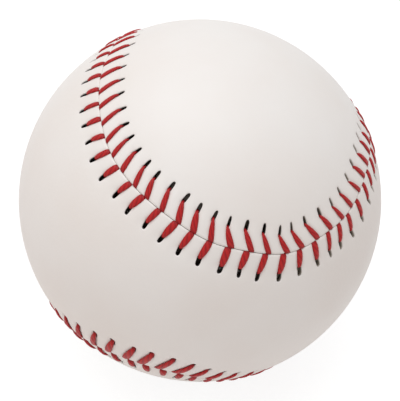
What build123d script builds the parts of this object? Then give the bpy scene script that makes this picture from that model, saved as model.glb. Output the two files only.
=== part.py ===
from build123d import *
from math import cos, hypot, pi, radians, sin, sqrt, tan
import os

# A baseball, in millimetres, with its origin at the ball's centre and +Z up.
# A cushioned cork pill carries four windings. Two equal cowhide panels close over them along one
# seam, sewn with a single waxed thread. The seam's axis lies along Y, one panel's waist towards -Y.

# Cushioned cork pill
cork_diameter = 20.6
black_rubber_wall = 4.0
gasket_thickness = 1.6
red_rubber_wall = 2.4

# Yarn walls, from the pill outwards, and the film of cement on the last
first_winding_wall = 14.3
second_winding_wall = 1.75
third_winding_wall = 2.2
fourth_winding_wall = 0.5
cement_wall = 0.1

# Cowhide cover: the seam is a wave round the ball, given by angles in degrees
leather_thickness = 1.2
seam_reach = 64.8
seam_swing = 21.4
seam_turn = 14.8

# Stitches: each hole's leg slants back along the seam to its dive in the gap
stitch_count = 108
first_hole_along = 1.05
hole_offset = 3.9
slit_opening = 1.0
front_slant = 0.4
thread_diameter = 0.8
thread_inner_bend = 0.15
thread_tail = 0.35
dive_clearance = 0.08

# Room between the layers, round the thread and beside the bed that it lies in
layer_clearance = 0.02
thread_clearance = 0.05
bed_margin = 0.4

# Radii of the layers, from the middle outwards
cork_radius = cork_diameter / 2
black_inner = cork_radius + layer_clearance
black_outer = black_inner + black_rubber_wall
red_inner = black_outer + layer_clearance
red_outer = red_inner + red_rubber_wall
first_inner = red_outer + layer_clearance
first_outer = first_inner + first_winding_wall
second_inner = first_outer + layer_clearance
second_outer = second_inner + second_winding_wall
third_inner = second_outer + layer_clearance
third_outer = third_inner + third_winding_wall
fourth_inner = third_outer + layer_clearance
fourth_outer = fourth_inner + fourth_winding_wall
cement_inner = fourth_outer + layer_clearance
cement_outer = cement_inner + cement_wall
leather_inner = cement_outer + layer_clearance
ball_radius = leather_inner + leather_thickness


# The seam's own frame: its axis is this frame's Z
seam_frame = Plane(
    origin=(0, 0, 0),
    x_dir=(sin(radians(seam_turn)), 0, cos(radians(seam_turn))),
    z_dir=(0, -1, 0),
)
seam_points = 120
ring_spans = 8


def seam_direction(turn):
    """Direction from the ball's centre to the seam, which crosses the equator four times."""
    latitude = radians(seam_reach) * cos(2 * turn)
    longitude = turn + radians(seam_swing) * sin(4 * turn)
    return Vector(
        cos(latitude) * cos(longitude),
        cos(latitude) * sin(longitude),
        sin(latitude),
    )


seam = Edge.make_spline(
    [seam_direction(2 * pi * k / seam_points) * ball_radius for k in range(seam_points)],
    periodic=True,
)
front = 1
back = -1


def seam_axes(along, across):
    """Outward and sideways directions at a length along the seam and a distance across it."""
    share = along / seam.length % 1
    outward = (seam @ share).normalized()
    sideways = outward.cross(seam % share).normalized()
    angle = across / ball_radius
    return (
        outward * cos(angle) + sideways * sin(angle),
        sideways * cos(angle) - outward * sin(angle),
    )


def beside_seam(along, across, radius):
    """Point at a length along the seam and a distance across it on the ball, at a radius."""
    return seam_axes(along, across)[0] * radius


def seam_ring(half_width, low_radius, high_radius):
    """Ring that follows the seam in spans, with ruled sides that point at the ball's centre."""
    step = seam.length / seam_points
    corners = (
        (-half_width, low_radius),
        (-half_width, high_radius),
        (half_width, high_radius),
        (half_width, low_radius),
    )
    rails = [
        Edge.make_spline(
            [beside_seam(k * step, across, radius) for k in range(seam_points)],
            periodic=True,
        )
        for across, radius in corners
    ]
    sides = []
    for span in range(ring_spans):
        start, end = span / ring_spans, (span + 1) / ring_spans
        pieces = [rail.trim(start, end) for rail in rails]
        for k in range(len(pieces)):
            sides.append(Face.make_surface_from_curves(pieces[k - 1], pieces[k]))
    return Solid(Shell(sides))


# Stitch sizes that follow from the thread and the seam
stitch_pitch = seam.length / stitch_count
thread_radius = thread_diameter / 2
thread_room = thread_radius + thread_clearance
thread_bend = thread_radius + thread_inner_bend
run_along = 1.5 * stitch_pitch
dive_spacing = (thread_diameter + dive_clearance) * hypot(run_along, hole_offset) / hole_offset
back_slant = front_slant + dive_spacing
slant = {front: front_slant, back: back_slant}


def chord_dip(radius, length):
    """How far a straight run between two points on a sphere dips below it."""
    return radius - sqrt(radius**2 - length**2 / 4)


leg_length = hypot(back_slant, hole_offset)
under_length = hypot(stitch_pitch + back_slant, hole_offset)
over_radius = ball_radius + thread_room + chord_dip(ball_radius, leg_length)
under_radius = leather_inner - thread_room
bed_radius = under_radius - chord_dip(under_radius, under_length) - thread_room
bed_depth = cement_outer - bed_radius
bed_half_width = hole_offset + thread_room + bed_margin


def pressed_ball(radius):
    """Ball whose surface is pressed in under the stitching, wider on the deeper layers."""
    half_width = bed_half_width + cement_outer - radius
    bed = seam_ring(half_width, radius - 2 * bed_depth, radius + bed_depth)
    return Sphere(radius) - bed + Sphere(radius - bed_depth)


# The pill
def half_shell(side):
    """Black rubber cup, cut back from the middle plane by half the gasket."""
    cup = Sphere(black_outer) - Sphere(black_inner)
    rim = side * (gasket_thickness / 2 + layer_clearance)
    keep = Keep.TOP if side > 0 else Keep.BOTTOM
    return split(cup, Plane.XY.offset(rim), keep=keep)


def gasket():
    """Flat ring whose edges follow the cork inside and the half shells outside."""
    disc = Cylinder(red_inner, gasket_thickness)
    return (disc & Sphere(black_outer)) - Sphere(black_inner)


# The cover
def hole_along(stitch):
    """Length along the seam to a stitch's pair of holes."""
    return first_hole_along + stitch * stitch_pitch


def awl_slit():
    """Cutter for one slit, with the pointed ends that an awl leaves."""
    shoulder = (sqrt(2) - 1) * thread_room + slit_opening / 2
    tip = shoulder + thread_room
    outline = Polyline(
        (-tip, 0),
        (-shoulder, thread_room),
        (shoulder, thread_room),
        (tip, 0),
        (shoulder, -thread_room),
        (-shoulder, -thread_room),
        close=True,
    )
    return extrude(make_face(outline), amount=2 * leather_thickness, both=True)


def slits(side):
    """Cutters for one panel's row of slits, each square to the seam."""
    middle = side * (hole_offset + slit_opening / 2)
    slit = awl_slit()
    row = []
    for stitch in range(stitch_count):
        outward, sideways = seam_axes(hole_along(stitch), middle)
        place = Plane(origin=outward * ball_radius, x_dir=sideways, z_dir=outward)
        row.append(place.location * slit)
    return row


def cover_panels():
    """Front and back panels: one hollow ball, parted along the seam by the thread's room."""
    gap = seam_ring(
        thread_room,
        leather_inner - leather_thickness,
        ball_radius + leather_thickness,
    )
    panels = (Sphere(ball_radius) - Sphere(leather_inner) - gap).solids()
    waist = Vector(0, 0, ball_radius - leather_thickness / 2)
    front_panel, back_panel = sorted(panels, key=lambda panel: not panel.is_inside(waist))
    return front_panel - slits(front), back_panel - slits(back)


# The thread
def needle_run(first_side):
    """Corners of one needle's run: up its hole, over, down the gap, under to the other side."""
    corners = []
    for stitch in range(stitch_count):
        side = first_side if stitch % 2 == 0 else -first_side
        along = hole_along(stitch)
        dive = along - slant[side]
        corners.append(beside_seam(along, side * hole_offset, under_radius))
        corners.append(beside_seam(along, side * hole_offset, over_radius))
        corners.append(beside_seam(dive, 0, over_radius))
        corners.append(beside_seam(dive, 0, under_radius))
    next_hole = beside_seam(hole_along(stitch_count), -side * hole_offset, under_radius)
    ahead = (next_hole - corners[-1]).normalized()
    corners.append(corners[-1] + ahead * (thread_bend + thread_tail))
    return corners


def rounded_path(corners, bend):
    """Straight runs between the corners, joined by tangent arcs."""
    edges = []
    start = corners[0]
    for before, corner, after in zip(corners, corners[1:], corners[2:]):
        to_before = (before - corner).normalized()
        to_after = (after - corner).normalized()
        half_angle = radians(to_before.get_angle(to_after)) / 2
        reach = bend / tan(half_angle)
        arc_start = corner + to_before * reach
        arc_middle = corner + (to_before + to_after).normalized() * bend * (1 / sin(half_angle) - 1)
        arc_end = corner + to_after * reach
        edges.append(Edge.make_line(start, arc_start))
        edges.append(Edge.make_three_point_arc(arc_start, arc_middle, arc_end))
        start = arc_end
    edges.append(Edge.make_line(start, corners[-1]))
    return Wire(edges)


def waxed_thread():
    """The whole thread: its middle crosses under the seam beside the first stitch."""
    crossing = hole_along(0) - back_slant - thread_diameter - thread_clearance
    corners = needle_run(back)[::-1]
    corners.append(beside_seam(crossing, 0, under_radius))
    corners += needle_run(front)
    path = rounded_path(corners, thread_bend)
    section = Plane(path @ 0, z_dir=path % 0) * Circle(thread_radius)
    thread = sweep(section, path=path)
    print("thread length", round(path.length, 1))
    print("volume over section times length", round(thread.volume / (section.area * path.length), 6))
    return thread


front_cover, back_cover = cover_panels()
pill = {
    "cork_core": Sphere(cork_radius),
    "upper_black_shell": half_shell(1),
    "lower_black_shell": half_shell(-1),
    "red_gasket": gasket(),
    "red_rubber_jacket": Sphere(red_outer) - Sphere(red_inner),
}
wound_and_sewn = {
    "first_winding": Sphere(first_outer) - Sphere(first_inner),
    "second_winding": Sphere(second_outer) - Sphere(second_inner),
    "third_winding": pressed_ball(third_outer) - Sphere(third_inner),
    "fourth_winding": pressed_ball(fourth_outer) - pressed_ball(fourth_inner),
    "cement_coat": pressed_ball(cement_outer) - pressed_ball(cement_inner),
    "front_cover": front_cover,
    "back_cover": back_cover,
    "waxed_thread": waxed_thread(),
}

os.makedirs("parts", exist_ok=True)
for name, piece in pill.items():
    export_step(piece, f"parts/{name}.step")
for name, piece in wound_and_sewn.items():
    export_step(seam_frame.location * piece, f"parts/{name}.step")
print("ball diameter", round(2 * ball_radius, 2), "stitch pitch", round(stitch_pitch, 3))
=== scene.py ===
import math

import bpy
import numpy as np
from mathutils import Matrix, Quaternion, Vector, geometry, kdtree


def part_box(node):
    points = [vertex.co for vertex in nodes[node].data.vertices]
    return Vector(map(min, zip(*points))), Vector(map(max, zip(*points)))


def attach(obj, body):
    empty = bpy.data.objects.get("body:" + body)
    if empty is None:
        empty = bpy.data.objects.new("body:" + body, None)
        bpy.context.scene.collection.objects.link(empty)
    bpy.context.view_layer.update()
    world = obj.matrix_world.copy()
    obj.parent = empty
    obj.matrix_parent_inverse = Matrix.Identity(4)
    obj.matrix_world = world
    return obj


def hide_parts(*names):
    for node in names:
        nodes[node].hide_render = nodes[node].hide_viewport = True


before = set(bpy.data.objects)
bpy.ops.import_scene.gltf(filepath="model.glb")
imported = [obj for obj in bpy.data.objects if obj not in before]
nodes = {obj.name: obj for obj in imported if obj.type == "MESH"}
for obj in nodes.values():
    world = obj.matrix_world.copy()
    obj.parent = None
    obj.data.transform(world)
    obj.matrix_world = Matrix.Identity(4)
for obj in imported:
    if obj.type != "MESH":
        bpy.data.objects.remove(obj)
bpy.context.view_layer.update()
millimetre = 0.001

# Cork core
# The real core is a round plug of cork granules bound with rubber and moulded under heat.
# It shows a coarse patchwork of tan grains with dark specks of bark between them.
cork_grain = 2.2 * millimetre
cork_joint = 0.06
cork_relief = 0.1 * millimetre
cork_rough = 0.85
cork_tan = "#B98A5C"
cork_pale = "#D2AC7E"
cork_bark = "#4A2F1D"


def linear(hex_colour):
    """Turns an sRGB hex colour into linear red, green, blue and alpha."""
    parts = [int(hex_colour[k : k + 2], 16) / 255 for k in (1, 3, 5)]
    return [c / 12.92 if c <= 0.04045 else ((c + 0.055) / 1.055) ** 2.4 for c in parts] + [1.0]


def add(tree, kind, inputs=None, **settings):
    """Adds a node with its settings; each input is a value or a socket to link from."""
    node = tree.nodes.new(kind)
    for name, value in settings.items():
        setattr(node, name, value)
    for key, value in (inputs or {}).items():
        if isinstance(value, bpy.types.NodeSocket):
            tree.links.new(value, node.inputs[key])
        else:
            node.inputs[key].default_value = value
    return node


def new_material(name):
    """A material with a principled shader; returns it, its tree, its shader and object coordinates."""
    made = bpy.data.materials.new(name)
    made.use_nodes = True
    tree = made.node_tree
    tree.nodes.clear()
    shader = add(tree, "ShaderNodeBsdfPrincipled")
    add(tree, "ShaderNodeOutputMaterial", {"Surface": shader.outputs[0]})
    place = add(tree, "ShaderNodeTexCoord").outputs["Object"]
    return made, tree, shader, place


def give(node_name, made):
    """Gives a CAD node's object one material."""
    slots = nodes[node_name].data.materials
    slots.clear()
    slots.append(made)


def moulded_cork():
    """Granules differ in tone, and the dark bark lies in the joints; dry and dull."""
    made, tree, shader, place = new_material("moulded_cork")
    grains = add(tree, "ShaderNodeTexVoronoi", {"Vector": place, "Scale": 1 / cork_grain})
    joints = add(
        tree,
        "ShaderNodeTexVoronoi",
        {"Vector": place, "Scale": 1 / cork_grain},
        feature="DISTANCE_TO_EDGE",
    )
    # A colour mix takes its share at input 0 and its two colours at inputs 6 and 7
    tone = add(
        tree,
        "ShaderNodeMix",
        {0: grains.outputs["Color"], 6: linear(cork_tan), 7: linear(cork_pale)},
        data_type="RGBA",
    )
    bark = add(
        tree,
        "ShaderNodeMapRange",
        {"Value": joints.outputs["Distance"], "From Max": cork_joint, "To Min": 1.0, "To Max": 0.0},
    )
    colour = add(
        tree,
        "ShaderNodeMix",
        {0: bark.outputs[0], 6: tone.outputs[2], 7: linear(cork_bark)},
        data_type="RGBA",
    )
    bump = add(
        tree,
        "ShaderNodeBump",
        {"Height": joints.outputs["Distance"], "Strength": 0.5, "Distance": cork_relief},
    )
    tree.links.new(colour.outputs[2], shader.inputs["Base Color"])
    tree.links.new(bump.outputs[0], shader.inputs["Normal"])
    shader.inputs["Roughness"].default_value = cork_rough
    return made


give("cork_core", moulded_cork())

# Rubber shells, gasket and jacket
# Two black rubber cups close over the cork with a red ring between them, and a thin red jacket
# is moulded over both. Moulded rubber is even in colour, with a faint bloom and a fine grit.
rubber_grit = 0.35 * millimetre
rubber_bloom = 6.0 * millimetre
rubber_relief = 0.05 * millimetre
rubber_rough = (0.55, 0.75)
black_rubber = ("#1B1B1C", "#2C2B2A")
red_rubber = ("#8E2A22", "#A23A2E")


def moulded_rubber(name, tones):
    """Matt rubber with cloudy bloom and a fine grit from the mould."""
    made, tree, shader, place = new_material(name)
    bloom = add(tree, "ShaderNodeTexNoise", {"Vector": place, "Scale": 1 / rubber_bloom, "Detail": 3.0})
    grit = add(tree, "ShaderNodeTexNoise", {"Vector": place, "Scale": 1 / rubber_grit, "Detail": 2.0})
    colour = add(
        tree,
        "ShaderNodeMix",
        {0: bloom.outputs[0], 6: linear(tones[0]), 7: linear(tones[1])},
        data_type="RGBA",
    )
    bump = add(
        tree,
        "ShaderNodeBump",
        {"Height": grit.outputs[0], "Strength": 0.4, "Distance": rubber_relief},
    )
    rough = add(
        tree,
        "ShaderNodeMapRange",
        {"Value": bloom.outputs[0], "To Min": rubber_rough[0], "To Max": rubber_rough[1]},
    )
    tree.links.new(colour.outputs[2], shader.inputs["Base Color"])
    tree.links.new(bump.outputs[0], shader.inputs["Normal"])
    tree.links.new(rough.outputs[0], shader.inputs["Roughness"])
    return made


black_finish = moulded_rubber("black_moulded_rubber", black_rubber)
red_finish = moulded_rubber("red_moulded_rubber", red_rubber)
for shell in ("upper_black_shell", "lower_black_shell"):
    give(shell, black_finish)
for layer in ("red_gasket", "red_rubber_jacket"):
    give(layer, red_finish)

# Wound yarn
# Machines wind the pill with great-circle turns of yarn: thick grey wool, white wool, grey wool,
# and last a fine white cotton. Each layer here is its outer turns over a ball of the same yarn, and
# the last two are pressed in where the cover's seam and its stitches lie.
seam_reach = math.radians(64.8)
seam_swing = math.radians(21.4)
seam_turn = math.radians(14.8)
seam_samples = 4320
bed_depth = 1.04 * millimetre
bed_half = {"third_winding": 5.4 * millimetre, "fourth_winding": 4.9 * millimetre}
bed_slope = 0.6 * millimetre
turn_steps = 60
yarn_sides = 5
ball_divisions = 4
# The deepest turns as a share of the layer's radius, and the fibres' relief as one of the yarn's width
turn_depth = 0.985
fibre_relief = 0.1
fibres_across = 3
yarn_rough = 0.9
yarn_sheen = 0.4
yarn_layers = {
    # node: material slot, yarn diameter in millimetres, turns, colours of the yarn
    "first_winding": ("grey_wool", 1.5, 150, ("#77777A", "#9A9A9C")),
    "second_winding": ("white_wool", 1.0, 190, ("#D9D3C5", "#EDE8DC")),
    "third_winding": ("grey_wool", 1.0, 190, ("#77777A", "#9A9A9C")),
    "fourth_winding": ("cotton_yarn", 0.4, 220, ("#E6E3DB", "#F4F2EC")),
}


def spun_yarn(name, tones, diameter):
    """Spun fibres: fine flecks of two tones, a soft sheen and no gloss."""
    made, tree, shader, place = new_material(name)
    fibre = add(
        tree,
        "ShaderNodeTexNoise",
        {"Vector": place, "Scale": fibres_across / diameter, "Detail": 4.0},
    )
    colour = add(
        tree,
        "ShaderNodeMix",
        {0: fibre.outputs[0], 6: linear(tones[0]), 7: linear(tones[1])},
        data_type="RGBA",
    )
    bump = add(
        tree,
        "ShaderNodeBump",
        {"Height": fibre.outputs[0], "Strength": 0.6, "Distance": fibre_relief * diameter},
    )
    tree.links.new(colour.outputs[2], shader.inputs["Base Color"])
    tree.links.new(bump.outputs[0], shader.inputs["Normal"])
    shader.inputs["Roughness"].default_value = yarn_rough
    shader.inputs["Sheen Weight"].default_value = yarn_sheen
    return made


def socket(tree, name, kind):
    """Adds a named input to a node tree and returns its identifier."""
    return tree.interface.new_socket(name, in_out="INPUT", socket_type=kind).identifier


def put(name, data):
    """Puts a new object into the scene, at the origin."""
    made = bpy.data.objects.new(name, data)
    bpy.context.scene.collection.objects.link(made)
    return made


def plain_mesh(maker, name):
    """The evaluated result of an object's modifiers as a new plain mesh object."""
    graph = bpy.context.evaluated_depsgraph_get()
    mesh = bpy.data.meshes.new_from_object(maker.evaluated_get(graph))
    mesh.name = name
    bpy.data.objects.remove(maker)
    return put(name, mesh)


def unit(vectors):
    """Vectors scaled to length one."""
    return vectors / np.linalg.norm(vectors, axis=-1, keepdims=True)


def ease(low, high, value):
    """Smooth step from 0 at low to 1 at high."""
    share = np.clip((value - low) / (high - low), 0, 1)
    return share * share * (3 - 2 * share)


seam_turns = np.arange(seam_samples + 1) * (2 * math.pi / seam_samples)
latitude = seam_reach * np.cos(2 * seam_turns)
longitude = seam_turns + seam_swing * np.sin(4 * seam_turns) + math.pi / 2 - seam_turn
true_seam = np.stack(
    [np.cos(latitude) * np.cos(longitude), -np.sin(latitude), np.cos(latitude) * np.sin(longitude)],
    axis=1,
)
seam_finder = kdtree.KDTree(seam_samples)
for k in range(seam_samples):
    seam_finder.insert(true_seam[k], k)
seam_finder.balance()


def press_bed(mesh, half_width):
    """Presses a layer of yarn in under the stitches, along the seam's true line."""
    flat = np.empty(3 * len(mesh.vertices))
    mesh.vertices.foreach_get("co", flat)
    points = flat.reshape(-1, 3)
    radius = np.linalg.norm(points, axis=1)
    from_seam = radius * np.array([seam_finder.find(direction)[2] for direction in unit(points)])
    press = bed_depth * (1 - ease(half_width, half_width + bed_slope, from_seam))
    mesh.vertices.foreach_set("co", (unit(points) * (radius - press)[:, None]).ravel())


def yarn_tree():
    """Geometry nodes: circles about random axes, swept with a round yarn, over a plain ball."""
    tree = bpy.data.node_groups.new("wound_yarn", "GeometryNodeTree")
    tree.interface.new_socket("Geometry", in_out="OUTPUT", socket_type="NodeSocketGeometry")
    keys = {
        "radius": socket(tree, "Outer radius", "NodeSocketFloat"),
        "yarn": socket(tree, "Yarn diameter", "NodeSocketFloat"),
        "turns": socket(tree, "Turns", "NodeSocketInt"),
        "seed": socket(tree, "Seed", "NodeSocketInt"),
        "finish": socket(tree, "Finish", "NodeSocketMaterial"),
    }
    given = add(tree, "NodeGroupInput").outputs
    halved = add(tree, "ShaderNodeMath", {0: given["Yarn diameter"], 1: 0.5}, operation="MULTIPLY")
    half = halved.outputs[0]
    inset = add(tree, "ShaderNodeMath", {0: given["Outer radius"], 1: half}, operation="SUBTRACT")
    track = inset.outputs[0]
    loop = add(tree, "GeometryNodeCurvePrimitiveCircle", {"Resolution": turn_steps, "Radius": track})
    points = add(tree, "GeometryNodeMeshLine", {"Count": given["Turns"], "Offset": (0.0, 0.0, 0.0)})
    tilt = add(
        tree,
        "FunctionNodeRandomValue",
        {0: (0.0, 0.0, 0.0), 1: (math.pi, math.pi, math.pi), "Seed": given["Seed"]},
        data_type="FLOAT_VECTOR",
    )
    depth = add(
        tree,
        "FunctionNodeRandomValue",
        {2: turn_depth, 3: 1.0, "Seed": given["Seed"]},
        data_type="FLOAT",
    )
    turns = add(
        tree,
        "GeometryNodeInstanceOnPoints",
        {
            "Points": points.outputs[0],
            "Instance": loop.outputs[0],
            "Rotation": tilt.outputs[0],
            "Scale": depth.outputs[1],
        },
    )
    laid = add(tree, "GeometryNodeRealizeInstances", {0: turns.outputs[0]})
    section = add(tree, "GeometryNodeCurvePrimitiveCircle", {"Resolution": yarn_sides, "Radius": half})
    yarn = add(
        tree,
        "GeometryNodeCurveToMesh",
        {"Curve": laid.outputs[0], "Profile Curve": section.outputs[0]},
    )
    under = add(tree, "ShaderNodeMath", {0: track, 1: half}, operation="SUBTRACT")
    ball = add(
        tree,
        "GeometryNodeMeshIcoSphere",
        {"Radius": under.outputs[0], "Subdivisions": ball_divisions},
    )
    both = add(tree, "GeometryNodeJoinGeometry", {0: yarn.outputs[0]})
    tree.links.new(ball.outputs[0], both.inputs[0])
    smooth = add(tree, "GeometryNodeSetShadeSmooth", {0: both.outputs[0]})
    dyed = add(tree, "GeometryNodeSetMaterial", {0: smooth.outputs[0], "Material": given["Finish"]})
    add(tree, "NodeGroupOutput", {0: dyed.outputs[0]})
    return tree, keys


wind, wind_keys = yarn_tree()
for seed, (node_name, (slot_name, diameter, turn_count, tones)) in enumerate(yarn_layers.items()):
    yarn_diameter = diameter * millimetre
    maker = put("maker", bpy.data.meshes.new("maker"))
    winding = maker.modifiers.new("wind", "NODES")
    winding.node_group = wind
    winding[wind_keys["radius"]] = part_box(node_name)[1].x
    winding[wind_keys["yarn"]] = yarn_diameter
    winding[wind_keys["turns"]] = turn_count
    winding[wind_keys["seed"]] = seed
    winding[wind_keys["finish"]] = spun_yarn(node_name + "_yarn", tones, yarn_diameter)
    wound = plain_mesh(maker, node_name + "_turns")
    if node_name in bed_half:
        press_bed(wound.data, bed_half[node_name])
    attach(wound, "root")
    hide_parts(node_name)

# Cement coat
# A brushed film of rubber cement over the last winding, which the cover is set in while tacky.
# Dried, it is a clouded brown skin with brush streaks, a little shiny. Its browns are drawn dark as
# painted shade, because the slits that show it look dark, and pale grey on the right as painted light,
# where they look greyer.
brush_streak = 1.2 * millimetre
streak_ratio = 0.15
cement_relief = 0.05 * millimetre
cement_rough = 0.45
# Painted shade: dark browns that stand in for the shade inside the slits
cement_shade_tones = ("#33271A", "#4A3926")
# Painted light: a pale grey for light inside the slits on the right, between these distances along X
cement_painted_light = "#B2AA9B"
painted_light_side = (9 * millimetre, 20 * millimetre)


def dried_cement():
    """Streaks from the brush vary the brown film, which stays slightly glossy; its browns are painted
    shade, and its grey on the right is painted light.
    """
    made, tree, shader, place = new_material("dried_rubber_cement")
    drawn = add(tree, "ShaderNodeMapping", {"Vector": place, "Scale": (1.0, 1.0, streak_ratio)})
    streak = add(
        tree,
        "ShaderNodeTexNoise",
        {"Vector": drawn.outputs[0], "Scale": 1 / brush_streak, "Detail": 3.0},
    )
    colour = add(
        tree,
        "ShaderNodeMix",
        {0: streak.outputs[0], 6: linear(cement_shade_tones[0]), 7: linear(cement_shade_tones[1])},
        data_type="RGBA",
    )
    # Painted light: the film turns pale grey towards the right
    to_right = add(tree, "ShaderNodeSeparateXYZ", {0: place})
    painted_light_share = add(
        tree,
        "ShaderNodeMapRange",
        {"Value": to_right.outputs["X"], "From Min": painted_light_side[0], "From Max": painted_light_side[1]},
    )
    film = add(
        tree,
        "ShaderNodeMix",
        {0: painted_light_share.outputs[0], 6: colour.outputs[2], 7: linear(cement_painted_light)},
        data_type="RGBA",
    )
    bump = add(
        tree,
        "ShaderNodeBump",
        {"Height": streak.outputs[0], "Strength": 0.5, "Distance": cement_relief},
    )
    tree.links.new(film.outputs[2], shader.inputs["Base Color"])
    tree.links.new(bump.outputs[0], shader.inputs["Normal"])
    shader.inputs["Roughness"].default_value = cement_rough
    return made


give("cement_coat", dried_cement())

# Cowhide cover
# Two equal figure-eight panels of white tanned cowhide, stretched on damp and sewn edge to edge.
# An awl slits a row of holes along each edge, and the thread's pull presses grooves between them.
ball_radius = max(v.co.length for v in nodes["front_cover"].data.vertices)
hide_inside = min(v.co.length for v in nodes["front_cover"].data.vertices)
stitch_count = 108
first_hole = 0.3 * millimetre
hole_offset = 3.9 * millimetre
slit_half = 0.4 * millimetre
slit_reach = 1.1 * millimetre
# Values by side have 1 for the front panel and -1 for the back one
slant = {1: 0.35 * millimetre, -1: 1.25 * millimetre}
leg_start = 3.6 * millimetre
lean_change = {1: 1.8 * millimetre, -1: -0.9 * millimetre}
lean_offset = {1: 1.5 * millimetre, -1: 0.0}
lean_swell = 0.12
lean_lift = 0.22 * millimetre
lean_stretch = (162 * millimetre, 178 * millimetre, 188 * millimetre, 207 * millimetre)
edge_gap = 0.012 * millimetre
parting_place = 389 * millimetre
parting_gap = 0.04 * millimetre
parting_length = 28 * millimetre
ridge_height = 0.08 * millimetre
ridge_flat = 1.4 * millimetre
ridge_reach = 6.5 * millimetre
edge_roll = 0.24 * millimetre
edge_roll_width = 0.35 * millimetre
groove_depth = 0.27 * millimetre
groove_half = 0.62 * millimetre
groove_end = 0.9 * millimetre
pull_depth = 0.16 * millimetre
pull_offset = 0.5 * millimetre
pull_reach = 1.3 * millimetre
# The hide moves with an uneven slit: from the first distance off the seam, fully from the second,
# and less again from the last one to the inner edge of the sewn strip
sway_start = (0.6 * millimetre, 2.65 * millimetre)
sway_end = 5.7 * millimetre
# Points of the plain middle: their spacing, the area of each over its square, their room at the
# strip's edge in spacings, and how many seam points are passed over to find their distance from it
lattice_step = 1.5 * millimetre
lattice_area = 0.866
lattice_room = 0.6
seam_skip = 4
# Unevenness of hand sewing: a stitch's place, a slit's slope, a leg's end over that of its place, and
# a leg's width
hand_shift = 0.18 * millimetre
hand_turn = 0.12
hand_reach = 1.4
hand_swell = (0.9, 1.1)
hand = np.random.default_rng(7)
# Lengths along the seam and how far the sewn seam strays there off its true line, in millimetres,
# more than zero towards the front panel
seam_stray = (
    (14, -0.75),
    (32, -0.3),
    (54, 1.2),
    (66, 2.1),
    (95, 0.0),
    (135, 0.0),
    (158, -3.8),
    (172, -3.6),
    (190, -1.8),
    (214, -3.2),
    (226, -3.8),
    (255, 0.0),
    (310, 0.0),
    (341, 4.2),
    (363, -0.5),
    (376, 0.0),
    (386, 1.1),
    (398, -0.5),
)
# Slow changes by side, each a bump: its place along the seam, its height and its length in millimetres.
# The stitches creep forward, the holes move outwards, the legs grow, and their slant opens.
stitch_creep = {
    1: (
        (5, -0.5, 10),
        (25, -0.25, 18),
        (75, 2.5, 22),
        (180, 0.9, 10),
        (190, 1.4, 35),
        (203, -1.3, 9),
        (361, 1.3, 9),
    ),
    -1: (
        (30, -0.6, 14),
        (75, 2.5, 22),
        (190, 1.4, 35),
        (339, -1.2, 6),
        (356, -0.4, 9),
        (383, 0.6, 20),
    ),
}
hole_growth = {1: ((30, -1.15, 26),), -1: ((347, 0.8, 12),)}
leg_growth = {1: ((30, 0.6, 26), (188, 0.7, 20)), -1: ((50, 0.6, 22), (347, -0.5, 12))}
slant_growth = {1: ((25, 0.25, 20),), -1: ((28, 0.3, 20), (384, 0.7, 12))}
# The thread is pulled thinner, by a share of its width, on both sides
leg_thinning = ((45, 0.13, 25), (360, 0.15, 20))


def measured(line):
    """Lengths along a closed line of points, and its tangents."""
    steps = np.linalg.norm(np.diff(line, axis=0), axis=1)
    tangent = unit(np.roll(line[:-1], -1, 0) - np.roll(line[:-1], 1, 0))
    return np.concatenate([[0.0], np.cumsum(steps)]), np.vstack([tangent, tangent[:1]])


def strayed(line):
    """The seam's true line moved sideways by its stray."""
    along, tangent = measured(line)
    place, shift = seam_stray[-1][0] * millimetre - along[-1], seam_stray[-1][1]
    moved = np.full_like(along, shift)
    for next_place, next_shift in seam_stray:
        moved += (next_shift - shift) * ease(place, next_place * millimetre, along)
        place, shift = next_place * millimetre, next_shift
    sideways = unit(np.cross(line, tangent)) * (moved * millimetre)[:, None]
    return ball_radius * unit(line + sideways)


seam_line = strayed(ball_radius * true_seam)
seam_along, seam_tangent = measured(seam_line)
seam_length = seam_along[-1]
stitch_pitch = seam_length / stitch_count


def on_ball(along, across, height):
    """Points at a length along the seam, a distance across it and a height over the ball."""
    wrapped = np.mod(along, seam_length)
    point = np.stack([np.interp(wrapped, seam_along, seam_line[:, k]) for k in range(3)], -1)
    tangent = np.stack([np.interp(wrapped, seam_along, seam_tangent[:, k]) for k in range(3)], -1)
    outward = unit(point)
    sideways = unit(np.cross(outward, tangent))
    angle = (across / ball_radius)[..., None]
    direction = outward * np.cos(angle) + sideways * np.sin(angle)
    return direction * (ball_radius + height)[..., None]


# Each stitch sits a little off its even place, as hand sewing leaves it. Over one stretch the
# front panel's legs lean more and the back panel's less, and their slits and swell change with them.
even_along = first_hole + stitch_pitch * np.arange(stitch_count)
even_along = even_along + hand.uniform(-hand_shift, hand_shift, stitch_count)


def past(along, place):
    """Lengths along the closed seam past a place on it, less than zero before it."""
    return np.mod(along - place + seam_length / 2, seam_length) - seam_length / 2


def bumps(table):
    """Sum at each stitch of smooth bumps along the seam."""
    total = np.zeros(stitch_count)
    for place, height, length in table:
        away = past(even_along, place * millimetre)
        total += height * np.exp(-((away / (length * millimetre)) ** 2))
    return total


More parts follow.
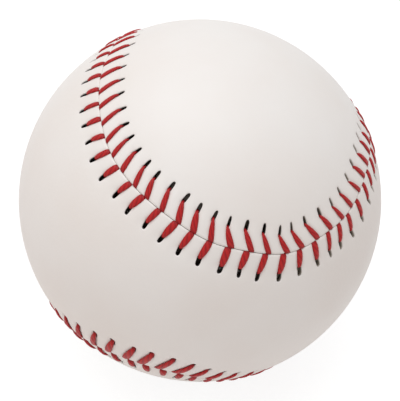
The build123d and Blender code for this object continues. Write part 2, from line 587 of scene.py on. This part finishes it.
hole_along = {side: even_along + bumps(stitch_creep[side]) * millimetre for side in slant}
lean = ease(lean_stretch[0], lean_stretch[1], hole_along[1])
lean = lean * (1 - ease(lean_stretch[2], lean_stretch[3], hole_along[1]))
hole_reach, slit_turn, leg_reach, leg_slant, leg_swell = {}, {}, {}, {}, {}
for side in slant:
    uneven = hand.uniform(-hand_shift, hand_shift, stitch_count)
    hole_reach[side] = lean_offset[side] * lean + bumps(hole_growth[side]) * millimetre + uneven
for side in slant:
    slit_turn[side] = hand.uniform(-hand_turn, hand_turn, stitch_count)
for side in slant:
    uneven = hand.uniform(-hand_reach, hand_reach, stitch_count) * hand_shift
    leg_reach[side] = leg_start + hole_reach[side] + bumps(leg_growth[side]) * millimetre + uneven
for side in slant:
    uneven = hand.uniform(-hand_shift, hand_shift, stitch_count)
    leg_slant[side] = slant[side] + lean_change[side] * lean
    leg_slant[side] = leg_slant[side] + bumps(slant_growth[side]) * millimetre + uneven
for side in slant:
    leg_swell[side] = hand.uniform(*hand_swell, stitch_count) + lean_swell * lean - bumps(leg_thinning)
leg_lift = lean_lift * lean

# Columns of the sewn strip, from one hole to the next, and its rows, from the edge inwards
beside_slit = np.array([-1.05, -0.8, -0.57, -0.4, 0.4, 0.57, 0.8, 1.05]) * millimetre
between_holes = 5
rows_to_slit = [0.0, 0.07, 0.18, 0.35, 0.6, 0.95, 1.35, 1.8, 2.25, 2.65, 3.0]
rows_at_slit = [3.35, 3.75, 4.15, 4.55, 4.95, 5.3, 5.5]
rows_past_slit = [5.7, 6.1, 6.5, 7.2, 8.2]
strip_rows = np.array(rows_to_slit + rows_at_slit + rows_past_slit) * millimetre
# How wide the slit is at each of its rows, as a share of its full width
slit_shares = (0.7, 1.0, 1.0, 1.0, 0.95, 0.75, 0.3)
slit_width = {len(rows_to_slit) + k: share for k, share in enumerate(slit_shares)}
slit_rows = list(slit_width)[:-1]


def strip_columns(side):
    """Stitch number and distance from its hole for every column along the seam."""
    stitch, offset = [], []
    for k in range(stitch_count):
        room = (hole_along[side][(k + 1) % stitch_count] - hole_along[side][k]) % seam_length
        spare = np.linspace(beside_slit[-1], room + beside_slit[0], between_holes + 2)[1:-1]
        offsets = np.concatenate([beside_slit, spare])
        stitch += [k] * len(offsets)
        offset += list(offsets)
    return np.array(stitch), np.array(offset)


def hide_height(side, along, across):
    """Rise of the sewn edge, with the grooves that the thread presses and the pull at the holes."""
    rise = ridge_height * (1 - ease(ridge_flat, ridge_reach, across))
    roll = edge_roll * np.clip(1 - across / edge_roll_width, 0, 1) ** 2
    press = np.zeros_like(along)
    pull = np.zeros_like(along)
    for k in range(stitch_count):
        away = past(along, hole_along[side][k])
        near = np.abs(away) < stitch_pitch
        reach = leg_reach[side][k]
        share = np.clip(across[near] / reach, 0, 1)
        from_leg = away[near] + leg_slant[side][k] * (1 - share)
        end = 1 - ease(reach, reach + groove_end, across[near])
        press[near] = np.maximum(press[near], end * np.exp(-((from_leg / groove_half) ** 2)))
        from_hole = np.hypot(away[near], across[near] - reach - pull_offset)
        pull[near] = np.maximum(pull[near], np.exp(-((from_hole / pull_reach) ** 2)))
    return rise - roll - groove_depth * press - pull_depth * pull, press


def cover_panel(name, side):
    """One panel: a finely divided sewn strip, its plain middle, the flesh side and all cut edges."""
    stitch, offset = strip_columns(side)
    columns, rows = len(stitch), len(strip_rows)
    across = np.repeat(strip_rows[None, :], columns, 0)
    sway = ease(sway_start[0], sway_start[1], across)
    sway = sway * (1 - ease(sway_end, strip_rows[-1], across))
    along = hole_along[side][stitch][:, None] + np.repeat(offset[:, None], rows, 1)
    twist = slit_turn[side][stitch][:, None] * (across - hole_offset) * sway
    close_by = np.exp(-((offset / slit_reach) ** 2))[:, None]
    along = along + twist * close_by
    across = across + hole_reach[side][stitch][:, None] * sway * close_by
    walls = np.isclose(np.abs(offset), slit_half)
    for row, share in slit_width.items():
        along[walls, row] -= offset[walls] * (1 - share)
    gap = edge_gap + parting_gap * np.exp(-((past(along, parting_place) / parting_length) ** 2))
    across = across + gap * (strip_rows == 0)
    height, press = hide_height(side, along.ravel(), across.ravel())
    outer = on_ball(along.ravel(), side * across.ravel(), height)

    index = np.arange(columns * rows).reshape(columns, rows)
    faces = []
    for column in range(columns):
        after = (column + 1) % columns
        slit = walls[column] and offset[column] < 0
        for row in range(rows - 1):
            if slit and row in slit_rows:
                continue
            here, there = index[column, row : row + 2], index[after, row : row + 2]
            corner = [here[0], there[0], there[1], here[1]]
            faces.append(corner if side > 0 else corner[::-1])

    middle, triangles = panel_middle(side, outer[index[:, -1]])
    links = np.concatenate([index[:, -1], np.arange(len(middle)) + len(outer)])
    outer = np.vstack([outer, middle])
    faces += [[int(links[k]) for k in triangle] for triangle in triangles]

    count = len(outer)
    inner = unit(outer) * hide_inside
    flesh = [[k + count for k in face[::-1]] for face in faces]
    # An edge of one face only is a cut edge and gets a wall down to the flesh side
    used = {}
    for face in faces:
        for a, b in zip(face, face[1:] + face[:1]):
            used[(a, b)] = True
    walls_made = [[b, a, a + count, b + count] for a, b in used if (b, a) not in used]

    mesh = bpy.data.meshes.new(name)
    mesh.from_pydata(np.vstack([outer, inner]).tolist(), [], faces + walls_made + flesh)
    mesh.validate()
    # The raw attribute marks the flesh side, whose cut walls the material paints near black as shade in the
    # slits
    raw = mesh.attributes.new("raw", "FLOAT", "POINT")
    raw.data.foreach_set("value", np.repeat([0.0, 1.0], count).astype(np.float32))
    # The pressed attribute holds the thread's press, which the material paints greyer as shade in the
    # grooves
    pressed = np.zeros(2 * count, np.float32)
    pressed[: len(press)] = press
    mesh.attributes.new("pressed", "FLOAT", "POINT").data.foreach_set("value", pressed)
    mesh.shade_smooth()
    return put(name, mesh)


def panel_middle(side, edge):
    """Evenly spread points inside the strip's inner edge, and triangles that join both."""
    total = int(4 * math.pi * ball_radius**2 / (lattice_area * lattice_step**2))
    step = np.arange(total) + 0.5
    rise = 1 - 2 * step / total
    spin = math.pi * (1 + math.sqrt(5)) * step
    flat = np.sqrt(1 - rise * rise)
    spread = np.stack([flat * np.cos(spin), rise, flat * np.sin(spin)], 1)
    coarse = seam_line[:-1:seam_skip] / ball_radius
    sideways = unit(np.cross(coarse, seam_tangent[:-1:seam_skip]))
    nearest = np.argmax(spread @ coarse.T, axis=1)
    across = side * np.arcsin(np.clip((spread * sideways[nearest]).sum(1), -1, 1)) * ball_radius
    far = np.arccos(np.clip((spread * coarse[nearest]).sum(1), -1, 1)) * ball_radius
    inside = spread[(across > 0) & (far > strip_rows[-1] + lattice_room * lattice_step)]
    both = np.vstack([unit(edge), inside])
    shadow = both[:, [0, 2]] / (1 - side * both[:, 1])[:, None]
    ring = len(edge)
    loop = [(k, (k + 1) % ring) for k in range(ring)]
    _, _, triangles, origin, _, _ = geometry.delaunay_2d_cdt(
        [Vector(p) for p in shadow], loop, [], 1, 1e-9
    )
    where = [source[0] for source in origin]
    triangles = [[where[k] for k in triangle] for triangle in triangles]
    a, b, c = (both[[t[k] for t in triangles]] for k in range(3))
    turned = (np.cross(b - a, c - a) * a).sum(1) < 0
    triangles = [t[::-1] if flip else t for t, flip in zip(triangles, turned)]
    return inside * ball_radius, triangles


# White tanned cowhide, finished smooth: pale and slightly warm, satin, with a pore grain that shows
# only where the light grazes it, so the pores are drawn coarser than real ones. Its flesh side and
# cut edges are dull and drawn near black as painted shade in the slits, and paler on the right as
# painted light, as the cement is. The grooves that the thread presses are drawn greyer as painted shade.
hide_pore = 0.7 * millimetre
hide_wrinkle = 2.6 * millimetre
hide_cloud = 22.0 * millimetre
hide_relief = 0.06 * millimetre
hide_rough = (0.48, 0.6)
# The share of painted groove shade at full press
groove_shade_share = 0.5
hide_white = "#EEEAE7"
hide_warm = "#E8DFD9"
# Painted shade: greyer hide in the grooves that the thread presses
hide_groove_shade = "#D9CFC8"
# Painted shade: the cut hide drawn near black for the shade inside the slits
raw_hide_and_slit_shade = "#1A1310"
# Painted light: paler cut hide for light inside the slits on the right
raw_hide_painted_light = "#9E968A"


def white_cowhide():
    """Cloudy white grain side with pores and faint wrinkles, with painted shade in the pressed grooves; the
    raw attribute marks cut edges, painted near black as shade, with painted light on the right.
    """
    made, tree, shader, place = new_material("white_tanned_cowhide")
    cloud = add(tree, "ShaderNodeTexNoise", {"Vector": place, "Scale": 1 / hide_cloud, "Detail": 3.0})
    pores = add(
        tree,
        "ShaderNodeTexVoronoi",
        {"Vector": place, "Scale": 1 / hide_pore},
        feature="SMOOTH_F1",
    )
    wrinkles = add(
        tree,
        "ShaderNodeTexNoise",
        {"Vector": place, "Scale": 1 / hide_wrinkle, "Detail": 5.0, "Roughness": 0.6},
    )
    drift = add(
        tree,
        "ShaderNodeMapRange",
        {"Value": cloud.outputs[0], "From Min": 0.35, "From Max": 0.7, "To Max": 0.5},
    )
    tone = add(
        tree,
        "ShaderNodeMix",
        {0: drift.outputs[0], 6: linear(hide_white), 7: linear(hide_warm)},
        data_type="RGBA",
    )
    groove = add(tree, "ShaderNodeAttribute", attribute_name="pressed")
    shade = add(
        tree,
        "ShaderNodeMath",
        {0: groove.outputs["Fac"], 1: groove_shade_share},
        operation="MULTIPLY",
    )
    # Painted shade: the hide turns greyer where the thread presses its grooves
    groove_shaded = add(
        tree,
        "ShaderNodeMix",
        {0: shade.outputs[0], 6: tone.outputs[2], 7: linear(hide_groove_shade)},
        data_type="RGBA",
    )
    raw = add(tree, "ShaderNodeAttribute", attribute_name="raw")
    cut = add(
        tree,
        "ShaderNodeMapRange",
        {"Value": raw.outputs["Fac"], "From Min": 0.03, "From Max": 0.25},
    )
    to_right = add(tree, "ShaderNodeSeparateXYZ", {0: place})
    painted_light_share = add(
        tree,
        "ShaderNodeMapRange",
        {"Value": to_right.outputs["X"], "From Min": painted_light_side[0], "From Max": painted_light_side[1]},
    )
    # Painted shade, near black, on the cut walls, and painted light on them towards the right
    wall = add(
        tree,
        "ShaderNodeMix",
        {0: painted_light_share.outputs[0], 6: linear(raw_hide_and_slit_shade), 7: linear(raw_hide_painted_light)},
        data_type="RGBA",
    )
    colour = add(
        tree,
        "ShaderNodeMix",
        {0: cut.outputs[0], 6: groove_shaded.outputs[2], 7: wall.outputs[2]},
        data_type="RGBA",
    )
    grain = add(
        tree,
        "ShaderNodeMath",
        {0: pores.outputs["Distance"], 1: wrinkles.outputs[0]},
        operation="ADD",
    )
    bump = add(
        tree,
        "ShaderNodeBump",
        {"Height": grain.outputs[0], "Strength": 0.25, "Distance": hide_relief},
    )
    rough = add(
        tree,
        "ShaderNodeMapRange",
        {"Value": cloud.outputs[0], "To Min": hide_rough[0], "To Max": hide_rough[1]},
    )
    tree.links.new(colour.outputs[2], shader.inputs["Base Color"])
    tree.links.new(bump.outputs[0], shader.inputs["Normal"])
    tree.links.new(rough.outputs[0], shader.inputs["Roughness"])
    return made


cowhide = white_cowhide()
for node_name, side in (("front_cover", 1), ("back_cover", -1)):
    panel = cover_panel(node_name.replace("cover", "panel"), side)
    panel.data.materials.append(cowhide)
    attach(panel, "root")
    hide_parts(node_name)

# Waxed thread
# One red cotton thread, four plies twisted and waxed, sewn with a needle at each end. Each stitch
# comes up a slit, swells over the hide, and dives between the edges to the other side's next slit.
thread_sides = 8
# Way from the seam (0) to the slit (1) or the far slit (-1), then height, width and thickness in
# millimetres
leg_stations = (
    (1.05, -1.45, 0.60, 0.60),
    (1.03, -0.50, 0.58, 0.50),
    (0.97, -0.13, 0.68, 0.46),
    (0.85, -0.02, 0.94, 0.48),
    (0.66, 0.05, 1.17, 0.50),
    (0.42, 0.07, 1.29, 0.50),
    (0.20, 0.06, 1.30, 0.48),
    (0.06, -0.07, 1.23, 0.46),
    (0.00, -0.40, 1.10, 0.46),
    (-0.04, -1.25, 0.80, 0.60),
    (-0.20, -1.66, 0.70, 0.60),
    (-0.98, -1.70, 0.60, 0.60),
)
thread_red = "#AC1317"
# Painted highlight: a lighter red on the ply crowns
thread_painted_highlight = "#C22423"
# Painted shade: a deep red in the ply furrows and at both ends of each leg
thread_painted_shade = "#5C0810"
ply_count = 4.0
ply_slope = 6.0
ply_relief = 0.1 * millimetre
fibre_width = 0.25 * millimetre
wax_rough = 0.5
wax_shine = 0.3


def thread_leg():
    """One leg as rings of points, laid flat: x along the seam, y across it, z over the hide."""
    rings = len(leg_stations)
    way = np.array([s[0] for s in leg_stations])
    middle = np.stack([way * leg_start, np.array([s[1] for s in leg_stations]) * millimetre], 1)
    heading = unit(np.gradient(middle, axis=0))
    points, ways = [], []
    for k, (_, _, wide, thick) in enumerate(leg_stations):
        hidden = max(0.0, -way[k])
        for j in range(thread_sides):
            angle = 2 * math.pi * j / thread_sides
            sideways = wide / 2 * millimetre * math.cos(angle)
            rise = thick / 2 * millimetre * math.sin(angle)
            along = sideways + hidden * (stitch_pitch + slant[1] + slant[-1])
            points.append((along, rise * heading[k][1], middle[k][1] - rise * heading[k][0]))
            ways.append(way[k])
    mesh = bpy.data.meshes.new("thread_leg")
    faces, around = [], []
    for k in range(rings - 1):
        for j in range(thread_sides):
            after = (j + 1) % thread_sides
            first, second = k * thread_sides, (k + 1) * thread_sides
            faces.append((first + j, first + after, second + after, second + j))
            around += [(j, k), (j + 1, k), (j + 1, k + 1), (j, k + 1)]
    mesh.from_pydata(points, [], faces)
    mesh.attributes.new("way", "FLOAT", "POINT").data.foreach_set("value", ways)
    lay = mesh.uv_layers.new(name="lay")
    for loop, (j, k) in zip(lay.data, around):
        loop.uv = (j / thread_sides, k / (rings - 1))
    return mesh


def sewing_points():
    """A point for every leg, laid out flat along X, with its own reach, slant and side."""
    mesh = bpy.data.meshes.new("sewing_points")
    places, sides, reaches, slants, swells, lifts = [], [], [], [], [], []
    for side in slant:
        places += [(a, 0.0, 0.0) for a in hole_along[side]]
        sides += [float(side)] * stitch_count
        reaches += list(leg_reach[side])
        slants += list(leg_slant[side])
        swells += list(leg_swell[side])
        lifts += list(leg_lift)
    mesh.from_pydata(places, [], [])
    for name, values in (
        ("side", sides),
        ("reach", reaches),
        ("slant", slants),
        ("swell", swells),
        ("lift", lifts),
    ):
        mesh.attributes.new(name, "FLOAT", "POINT").data.foreach_set("value", values)
    return mesh


def sewing_tree():
    """Geometry nodes: a leg at every point, drawn out to its slit, then wrapped onto the ball."""
    tree = bpy.data.node_groups.new("sewn_seam", "GeometryNodeTree")
    tree.interface.new_socket("Geometry", in_out="OUTPUT", socket_type="NodeSocketGeometry")
    tree.interface.new_socket("Geometry", in_out="INPUT", socket_type="NodeSocketGeometry")
    keys = {
        "leg": socket(tree, "Leg", "NodeSocketObject"),
        "seam": socket(tree, "Seam", "NodeSocketObject"),
        "radius": socket(tree, "Ball radius", "NodeSocketFloat"),
        "length": socket(tree, "Seam length", "NodeSocketFloat"),
        "finish": socket(tree, "Finish", "NodeSocketMaterial"),
    }
    given = add(tree, "NodeGroupInput").outputs
    leg = add(tree, "GeometryNodeObjectInfo", {"Object": given["Leg"]})
    seam = add(tree, "GeometryNodeObjectInfo", {"Object": given["Seam"]})
    named = {
        name: add(tree, "GeometryNodeInputNamedAttribute", {"Name": name}, data_type="FLOAT").outputs[0]
        for name in ("side", "reach", "slant", "swell", "lift", "way")
    }
    half_turn = add(
        tree,
        "ShaderNodeMapRange",
        {"Value": named["side"], "From Min": -1.0, "To Min": math.pi, "To Max": 0.0},
    )
    turn = add(tree, "ShaderNodeCombineXYZ", {"Z": half_turn.outputs[0]})
    stretch = add(tree, "ShaderNodeCombineXYZ", {"X": named["swell"], "Y": 1.0, "Z": 1.0})
    placed = add(
        tree,
        "GeometryNodeInstanceOnPoints",
        {
            "Points": given["Geometry"],
            "Instance": leg.outputs["Geometry"],
            "Rotation": turn.outputs[0],
            "Scale": stretch.outputs[0],
        },
    )
    laid = add(tree, "GeometryNodeRealizeInstances", {0: placed.outputs[0]})
    position = add(tree, "GeometryNodeInputPosition")
    at = add(tree, "ShaderNodeSeparateXYZ", {0: position.outputs[0]}).outputs
    short = add(tree, "ShaderNodeMath", {0: 1.0, 1: named["way"]}, operation="SUBTRACT")
    back = add(tree, "ShaderNodeMath", {0: short.outputs[0], 1: named["slant"]}, operation="MULTIPLY")
    along = add(tree, "ShaderNodeMath", {0: at["X"], 1: back.outputs[0]}, operation="SUBTRACT")
    drawn = add(tree, "ShaderNodeMath", {0: named["reach"], 1: named["way"]}, operation="MULTIPLY")
    aside = add(tree, "ShaderNodeMath", {0: drawn.outputs[0], 1: named["side"]}, operation="MULTIPLY")
    across = add(tree, "ShaderNodeMath", {0: at["Y"], 1: aside.outputs[0]}, operation="ADD")
    wrapped = add(
        tree,
        "ShaderNodeMath",
        {0: along.outputs[0], 1: given["Seam length"]},
        operation="FLOORED_MODULO",
    )
    under = add(
        tree,
        "GeometryNodeSampleCurve",
        {"Curves": seam.outputs["Geometry"], "Length": wrapped.outputs[0]},
        mode="LENGTH",
        use_all_curves=True,
    )
    outward = add(tree, "ShaderNodeVectorMath", {0: under.outputs["Position"]}, operation="NORMALIZE")
    cross = add(
        tree,
        "ShaderNodeVectorMath",
        {0: outward.outputs[0], 1: under.outputs["Tangent"]},
        operation="CROSS_PRODUCT",
    )
    sideways = add(tree, "ShaderNodeVectorMath", {0: cross.outputs[0]}, operation="NORMALIZE")
    angle = add(tree, "ShaderNodeMath", {0: across.outputs[0], 1: given["Ball radius"]}, operation="DIVIDE")
    cosine = add(tree, "ShaderNodeMath", {0: angle.outputs[0]}, operation="COSINE")
    sine = add(tree, "ShaderNodeMath", {0: angle.outputs[0]}, operation="SINE")
    up = add(
        tree,
        "ShaderNodeVectorMath",
        {0: outward.outputs[0], "Scale": cosine.outputs[0]},
        operation="SCALE",
    )
    over = add(
        tree,
        "ShaderNodeVectorMath",
        {0: sideways.outputs[0], "Scale": sine.outputs[0]},
        operation="SCALE",
    )
    direction = add(tree, "ShaderNodeVectorMath", {0: up.outputs[0], 1: over.outputs[0]}, operation="ADD")
    # The lift is fullest half way along the leg, where the product is a quarter
    arch = add(tree, "ShaderNodeMath", {0: named["way"], 1: short.outputs[0]}, operation="MULTIPLY")
    crown = add(tree, "ShaderNodeMath", {0: arch.outputs[0], 1: 0.0}, operation="MAXIMUM")
    share = add(tree, "ShaderNodeMath", {0: crown.outputs[0], 1: 4.0}, operation="MULTIPLY")
    lift = add(tree, "ShaderNodeMath", {0: share.outputs[0], 1: named["lift"]}, operation="MULTIPLY")
    raised = add(tree, "ShaderNodeMath", {0: at["Z"], 1: lift.outputs[0]}, operation="ADD")
    radius = add(tree, "ShaderNodeMath", {0: raised.outputs[0], 1: given["Ball radius"]}, operation="ADD")
    place = add(
        tree,
        "ShaderNodeVectorMath",
        {0: direction.outputs[0], "Scale": radius.outputs[0]},
        operation="SCALE",
    )
    sewn = add(tree, "GeometryNodeSetPosition", {"Geometry": laid.outputs[0], "Position": place.outputs[0]})
    smooth = add(tree, "GeometryNodeSetShadeSmooth", {0: sewn.outputs[0]})
    dyed = add(tree, "GeometryNodeSetMaterial", {0: smooth.outputs[0], "Material": given["Finish"]})
    add(tree, "NodeGroupOutput", {0: dyed.outputs[0]})
    return tree, keys


def waxed_cotton():
    """Twisted plies with a painted highlight along their crowns and painted shade, deep red, in the furrows
    and at both ends; waxy satin.
    """
    made, tree, shader, place = new_material("waxed_red_cotton")
    lay = add(tree, "ShaderNodeUVMap", uv_map="lay")
    parts = add(tree, "ShaderNodeSeparateXYZ", {0: lay.outputs[0]}).outputs
    around = add(tree, "ShaderNodeMath", {0: parts["X"], 1: ply_count}, operation="MULTIPLY")
    along = add(tree, "ShaderNodeMath", {0: parts["Y"], 1: ply_slope}, operation="MULTIPLY")
    slope = add(tree, "ShaderNodeMath", {0: around.outputs[0], 1: along.outputs[0]}, operation="ADD")
    phase = add(tree, "ShaderNodeMath", {0: slope.outputs[0], 1: 2 * math.pi}, operation="MULTIPLY")
    ply = add(tree, "ShaderNodeMath", {0: phase.outputs[0]}, operation="SINE")
    crown = add(tree, "ShaderNodeMapRange", {"Value": ply.outputs[0], "From Min": -1.0})
    fibre = add(tree, "ShaderNodeTexNoise", {"Vector": place, "Scale": 1 / fibre_width, "Detail": 3.0})
    blend = add(tree, "ShaderNodeMath", {0: crown.outputs[0], 1: fibre.outputs[0]}, operation="MULTIPLY")
    # Painted highlight: lighter red on the ply crowns
    colour = add(
        tree,
        "ShaderNodeMix",
        {0: blend.outputs[0], 6: linear(thread_red), 7: linear(thread_painted_highlight)},
        data_type="RGBA",
    )
    # Painted shade: deep red in the ply furrows
    furrow = add(
        tree,
        "ShaderNodeMapRange",
        {"Value": crown.outputs[0], "From Max": 0.35, "To Min": 0.4, "To Max": 0.0},
    )
    # The leg runs from its slit, at 0 along its length, to its dive between the edges; near both ends it is
    # painted deep red as shade
    dive = add(
        tree,
        "ShaderNodeMapRange",
        {"Value": parts["Y"], "From Min": 0.56, "From Max": 0.72, "To Max": 0.8},
    )
    rise = add(
        tree,
        "ShaderNodeMapRange",
        {"Value": parts["Y"], "From Min": 0.08, "From Max": 0.2, "To Min": 0.7, "To Max": 0.0},
    )
    ends = add(tree, "ShaderNodeMath", {0: dive.outputs[0], 1: rise.outputs[0]}, operation="MAXIMUM")
    shade = add(tree, "ShaderNodeMath", {0: ends.outputs[0], 1: furrow.outputs[0]}, operation="MAXIMUM")
    # Painted shade: deep red in the furrows and at both ends of the leg
    shaded_colour = add(
        tree,
        "ShaderNodeMix",
        {0: shade.outputs[0], 6: colour.outputs[2], 7: linear(thread_painted_shade)},
        data_type="RGBA",
    )
    bump = add(
        tree,
        "ShaderNodeBump",
        {"Height": crown.outputs[0], "Strength": 0.6, "Distance": ply_relief},
    )
    tree.links.new(shaded_colour.outputs[2], shader.inputs["Base Color"])
    tree.links.new(bump.outputs[0], shader.inputs["Normal"])
    shader.inputs["Roughness"].default_value = wax_rough
    shader.inputs["Specular IOR Level"].default_value = wax_shine
    return made


seam_curve = bpy.data.curves.new("seam_line", "CURVE")
seam_curve.dimensions = "3D"
spline = seam_curve.splines.new("POLY")
spline.points.add(seam_samples - 1)
spline.points.foreach_set("co", np.column_stack([seam_line[:-1], np.ones(seam_samples)]).ravel())
spline.use_cyclic_u = True
seam_guide = put("seam_guide", seam_curve)
leg_guide = put("leg_guide", thread_leg())
maker = put("sewing", sewing_points())
sew, sew_keys = sewing_tree()
sewing = maker.modifiers.new("sew", "NODES")
sewing.node_group = sew
sewing[sew_keys["leg"]] = leg_guide
sewing[sew_keys["seam"]] = seam_guide
sewing[sew_keys["radius"]] = ball_radius
sewing[sew_keys["length"]] = float(seam_length)
sewing[sew_keys["finish"]] = waxed_cotton()
stitches = plain_mesh(maker, "waxed_stitches")
for helper in (seam_guide, leg_guide):
    bpy.data.objects.remove(helper)
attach(stitches, "root")
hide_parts("waxed_thread")

# Stage
# A plain painted floor carries the ball. It shows white to the camera, as the background does,
# and keeps the ball's faint shadow.
floor_half = 3.0
floor_white = "#EBE4E0"
floor_shade = "#898989"
floor_glow = 0.85
plain_white = "#FFFFFF"
floor_mesh = bpy.data.meshes.new("floor")
floor_mesh.from_pydata(
    [(x * floor_half, y * floor_half, -ball_radius) for x, y in ((-1, -1), (1, -1), (1, 1), (-1, 1))],
    [],
    [(0, 1, 2, 3)],
)
floor = put("floor", floor_mesh)


def shown_rays(tree):
    """1 for rays that show the background: from the camera, a reflection or clear glass."""
    path = add(tree, "ShaderNodeLightPath").outputs
    seen = add(
        tree,
        "ShaderNodeMath",
        {0: path["Is Camera Ray"], 1: path["Is Glossy Ray"]},
        operation="MAXIMUM",
    )
    shown = add(
        tree,
        "ShaderNodeMath",
        {0: seen.outputs[0], 1: path["Is Transmission Ray"]},
        operation="MAXIMUM",
    )
    return shown.outputs[0]


def white_floor():
    """Mostly its own white where the camera sees it, and plain pale paint for all other rays."""
    made = bpy.data.materials.new("white_floor")
    made.use_nodes = True
    tree = made.node_tree
    tree.nodes.clear()
    paint = add(tree, "ShaderNodeBsdfDiffuse", {"Color": linear(floor_white)})
    shadow = add(tree, "ShaderNodeBsdfDiffuse", {"Color": linear(floor_shade)})
    glow = add(tree, "ShaderNodeEmission", {"Color": linear(plain_white), "Strength": floor_glow})
    bright = add(tree, "ShaderNodeAddShader", {0: shadow.outputs[0], 1: glow.outputs[0]})
    surface = add(
        tree,
        "ShaderNodeMixShader",
        {0: shown_rays(tree), 1: paint.outputs[0], 2: bright.outputs[0]},
    )
    add(tree, "ShaderNodeOutputMaterial", {"Surface": surface.outputs[0]})
    return made


floor.data.materials.append(white_floor())

# Light and camera
# A wide soft lamp hangs overhead and a weak warm one stands at the left, in an even white surround.
# The camera looks down on the ball, slightly from its left, and is rolled a little.
surround_strength = 0.565
lamp_from = Vector((-0.12, -0.04, 0.97))
lamp_size = 0.9
lamp_power = 5.12
side_lamp_from = Vector((-0.9, -0.3, 0.1))
side_lamp_power = 0.6
side_lamp_warm = "#FFDFC2"
camera_azimuth = math.radians(-1.49)
camera_elevation = math.radians(38.15)
camera_roll = math.radians(2.02)
camera_distance = 7.0 * ball_radius
camera_near = 0.01
# Radius of the ball's outline in the picture over half the picture's side, in pixels
outline_share = 181.3 / 200.5

world = bpy.data.worlds.new("surround")
bpy.context.scene.world = world
world.use_nodes = True
tree = world.node_tree
tree.nodes.clear()
strength = add(tree, "ShaderNodeMapRange", {"Value": shown_rays(tree), "To Min": surround_strength})
sky = add(tree, "ShaderNodeBackground", {"Color": linear(plain_white), "Strength": strength.outputs[0]})
add(tree, "ShaderNodeOutputWorld", {"Surface": sky.outputs[0]})

for name, place, power, tint in (
    ("soft_lamp", lamp_from, lamp_power, plain_white),
    ("side_lamp", side_lamp_from, side_lamp_power, side_lamp_warm),
):
    lamp = bpy.data.lights.new(name, "AREA")
    lamp.shape = "DISK"
    lamp.size = lamp_size
    lamp.energy = power
    lamp.color = linear(tint)[:3]
    lamp_object = put(name, lamp)
    lamp_object.location = place
    lamp_object.rotation_euler = place.to_track_quat("Z", "Y").to_euler()

away = Vector(
    (
        math.sin(camera_azimuth) * math.cos(camera_elevation),
        -math.cos(camera_azimuth) * math.cos(camera_elevation),
        math.sin(camera_elevation),
    )
)
view = bpy.data.cameras.new("view")
outline_tangent = ball_radius / math.sqrt(camera_distance**2 - ball_radius**2)
view.lens = view.sensor_width / 2 * outline_share / outline_tangent
view.clip_start = camera_near
camera = put("view", view)
camera.location = away * camera_distance
upright = away.to_track_quat("Z", "Y")
camera.rotation_euler = (upright @ Quaternion((0, 0, 1), camera_roll)).to_euler()
bpy.context.scene.camera = camera
bpy.context.scene.view_settings.view_transform = "Standard"
